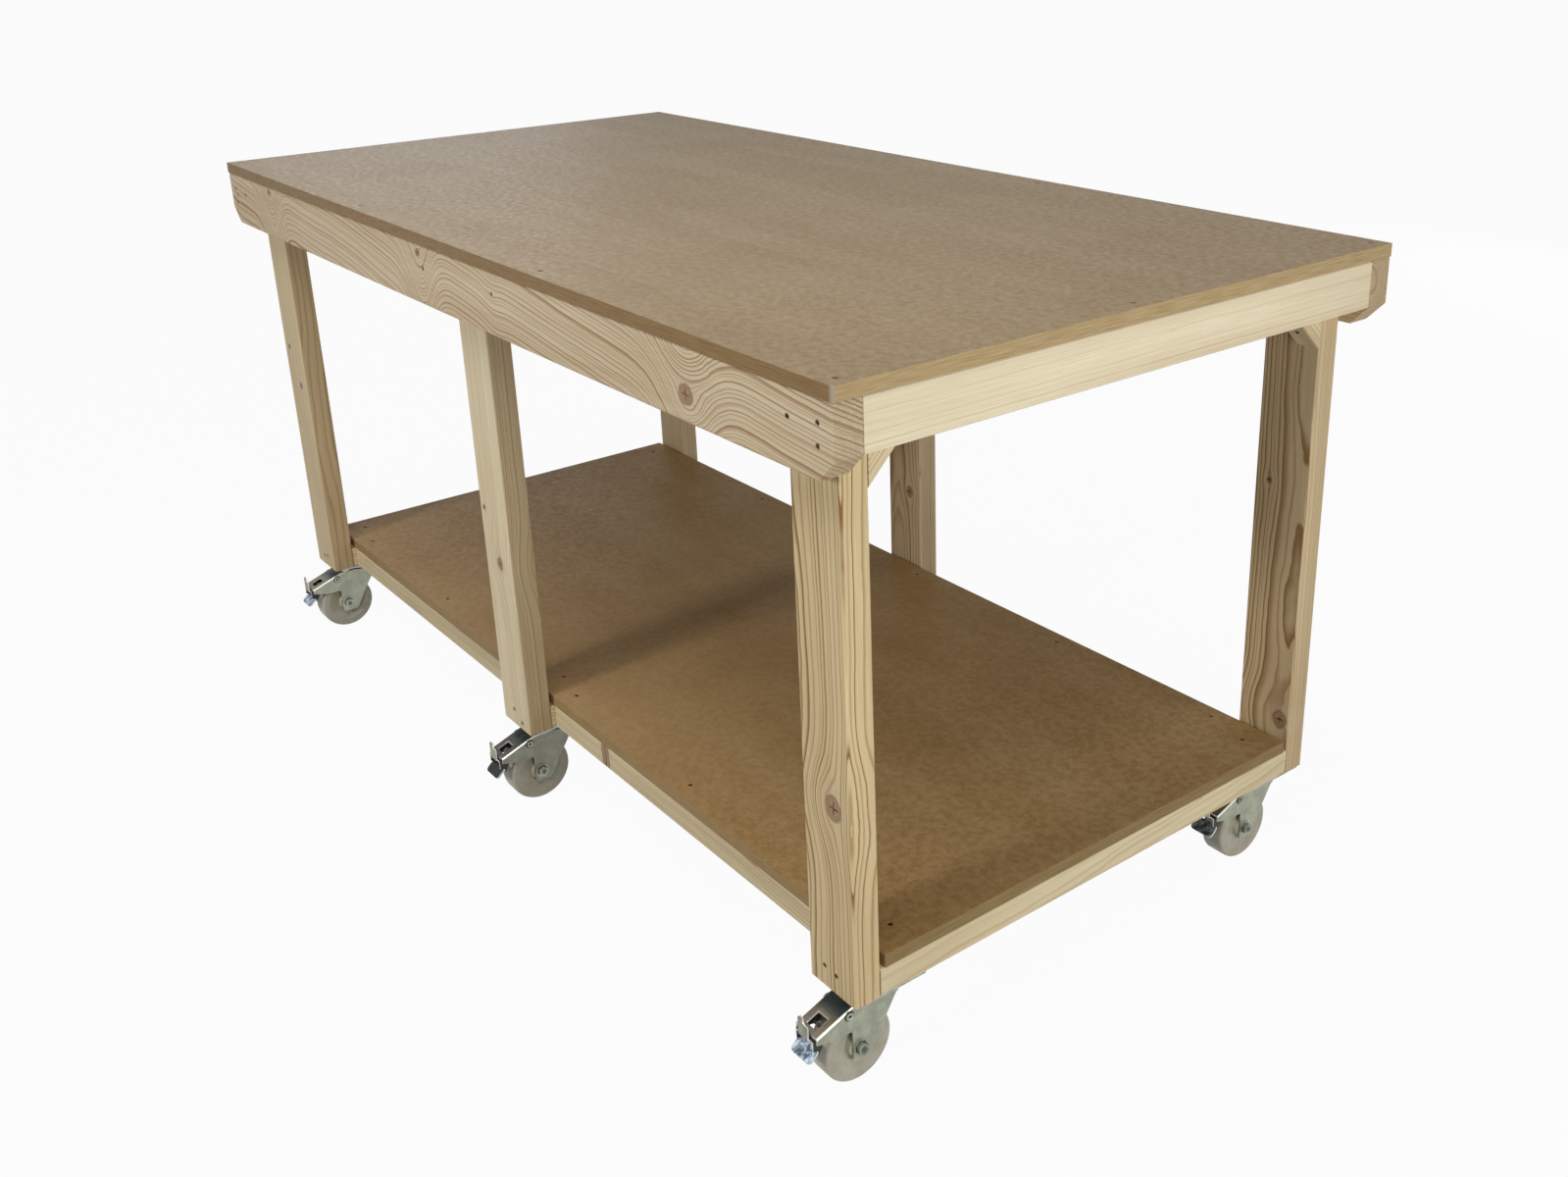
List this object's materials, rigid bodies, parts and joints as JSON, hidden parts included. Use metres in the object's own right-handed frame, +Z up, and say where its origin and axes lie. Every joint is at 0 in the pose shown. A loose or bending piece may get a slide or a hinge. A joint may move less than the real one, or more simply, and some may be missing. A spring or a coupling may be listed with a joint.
{
  "type": "assembly table",
  "caption": "Mobile assembly table: a large flat board on a timber frame with knee braces, a full-length lower shelf and braked swivel castors.",
  "frame": {"origin": "on the floor, at the centre of the whole table's outline, brake pedals included", "axes": "+X along the bench to its right end, +Y from the front to the back, +Z up"},
  "size_m": [1.83, 0.9292, 0.915],
  "materials": {
    "mdf": "raw board, finely mottled",
    "pine": "planed, unfinished",
    "zinc": "pressed sheet, zinc plated",
    "nylon": "moulded, slightly translucent"
  },
  "bodies": {
    "table": {"worktop": "mdf", "shelf_board": "mdf", "front_rail": "pine", "back_rail": "pine", "left_end_rail": "pine", "right_end_rail": "pine", "front_left_leg": "pine", "front_middle_leg": "pine", "front_right_leg": "pine", "back_left_leg": "pine", "back_middle_leg": "pine", "back_right_leg": "pine", "front_left_brace": "pine", "front_right_brace": "pine", "back_left_brace": "pine", "back_right_brace": "pine", "left_shelf_bearer": "pine", "middle_shelf_bearer": "pine", "right_shelf_bearer": "pine", "shelf_rim_front_left": "pine", "shelf_rim_front_right": "pine", "shelf_rim_back_left": "pine", "shelf_rim_back_right": "pine", "castor_screws": "zinc", "front_left_castor_plate": "zinc", "front_middle_castor_plate": "zinc", "front_right_castor_plate": "zinc", "back_left_castor_plate": "zinc", "back_middle_castor_plate": "zinc", "back_right_castor_plate": "zinc"},
    "front_left_fork": {"front_left_castor_fork": "zinc", "front_left_castor_axle": "zinc"},
    "front_left_wheel": {"front_left_castor_wheel": "nylon"},
    "front_left_brake": {"front_left_castor_brake": "zinc"},
    "front_middle_fork": {"front_middle_castor_fork": "zinc", "front_middle_castor_axle": "zinc"},
    "front_middle_wheel": {"front_middle_castor_wheel": "nylon"},
    "front_middle_brake": {"front_middle_castor_brake": "zinc"},
    "front_right_fork": {"front_right_castor_fork": "zinc", "front_right_castor_axle": "zinc"},
    "front_right_wheel": {"front_right_castor_wheel": "nylon"},
    "front_right_brake": {"front_right_castor_brake": "zinc"},
    "back_left_fork": {"back_left_castor_fork": "zinc", "back_left_castor_axle": "zinc"},
    "back_left_wheel": {"back_left_castor_wheel": "nylon"},
    "back_left_brake": {"back_left_castor_brake": "zinc"},
    "back_middle_fork": {"back_middle_castor_fork": "zinc", "back_middle_castor_axle": "zinc"},
    "back_middle_wheel": {"back_middle_castor_wheel": "nylon"},
    "back_middle_brake": {"back_middle_castor_brake": "zinc"},
    "back_right_fork": {"back_right_castor_fork": "zinc", "back_right_castor_axle": "zinc"},
    "back_right_wheel": {"back_right_castor_wheel": "nylon"},
    "back_right_brake": {"back_right_castor_brake": "zinc"}
  },
  "joints": [
    {"name": "front_left_swivel", "type": "hinge", "parent": "table", "child": "front_left_fork", "pos_m": [-0.8265, -0.34845, 0.115], "axis": [0, 0, 1], "continuous": true},
    {"name": "front_left_roll", "type": "hinge", "parent": "front_left_fork", "child": "front_left_wheel", "pos_m": [-0.8265, -0.38845, 0.05], "axis": [1, 0, 0], "continuous": true},
    {"name": "front_left_brake_press", "type": "hinge", "parent": "front_left_fork", "child": "front_left_brake", "pos_m": [-0.8265, -0.40444, 0.10398], "axis": [1, 0, 0], "range_deg": [0, 12]},
    {"name": "front_middle_swivel", "type": "hinge", "parent": "table", "child": "front_middle_fork", "pos_m": [0, -0.34845, 0.115], "axis": [0, 0, 1], "continuous": true},
    {"name": "front_middle_roll", "type": "hinge", "parent": "front_middle_fork", "child": "front_middle_wheel", "pos_m": [0, -0.38845, 0.05], "axis": [1, 0, 0], "continuous": true},
    {"name": "front_middle_brake_press", "type": "hinge", "parent": "front_middle_fork", "child": "front_middle_brake", "pos_m": [0, -0.40444, 0.10398], "axis": [1, 0, 0], "range_deg": [0, 12]},
    {"name": "front_right_swivel", "type": "hinge", "parent": "table", "child": "front_right_fork", "pos_m": [0.8265, -0.34845, 0.115], "axis": [0, 0, 1], "continuous": true},
    {"name": "front_right_roll", "type": "hinge", "parent": "front_right_fork", "child": "front_right_wheel", "pos_m": [0.8265, -0.38845, 0.05], "axis": [1, 0, 0], "continuous": true},
    {"name": "front_right_brake_press", "type": "hinge", "parent": "front_right_fork", "child": "front_right_brake", "pos_m": [0.8265, -0.40444, 0.10398], "axis": [1, 0, 0], "range_deg": [0, 12]},
    {"name": "back_left_swivel", "type": "hinge", "parent": "table", "child": "back_left_fork", "pos_m": [-0.8265, 0.37255, 0.115], "axis": [0, 0, 1], "continuous": true},
    {"name": "back_left_roll", "type": "hinge", "parent": "back_left_fork", "child": "back_left_wheel", "pos_m": [-0.8265, 0.33255, 0.05], "axis": [1, 0, 0], "continuous": true},
    {"name": "back_left_brake_press", "type": "hinge", "parent": "back_left_fork", "child": "back_left_brake", "pos_m": [-0.8265, 0.31656, 0.10398], "axis": [1, 0, 0], "range_deg": [0, 12]},
    {"name": "back_middle_swivel", "type": "hinge", "parent": "table", "child": "back_middle_fork", "pos_m": [0, 0.37255, 0.115], "axis": [0, 0, 1], "continuous": true},
    {"name": "back_middle_roll", "type": "hinge", "parent": "back_middle_fork", "child": "back_middle_wheel", "pos_m": [0, 0.33255, 0.05], "axis": [1, 0, 0], "continuous": true},
    {"name": "back_middle_brake_press", "type": "hinge", "parent": "back_middle_fork", "child": "back_middle_brake", "pos_m": [0, 0.31656, 0.10398], "axis": [1, 0, 0], "range_deg": [0, 12]},
    {"name": "back_right_swivel", "type": "hinge", "parent": "table", "child": "back_right_fork", "pos_m": [0.8265, 0.37255, 0.115], "axis": [0, 0, 1], "continuous": true},
    {"name": "back_right_roll", "type": "hinge", "parent": "back_right_fork", "child": "back_right_wheel", "pos_m": [0.8265, 0.33255, 0.05], "axis": [1, 0, 0], "continuous": true},
    {"name": "back_right_brake_press", "type": "hinge", "parent": "back_right_fork", "child": "back_right_brake", "pos_m": [0.8265, 0.31656, 0.10398], "axis": [1, 0, 0], "range_deg": [0, 12]}
  ]
}
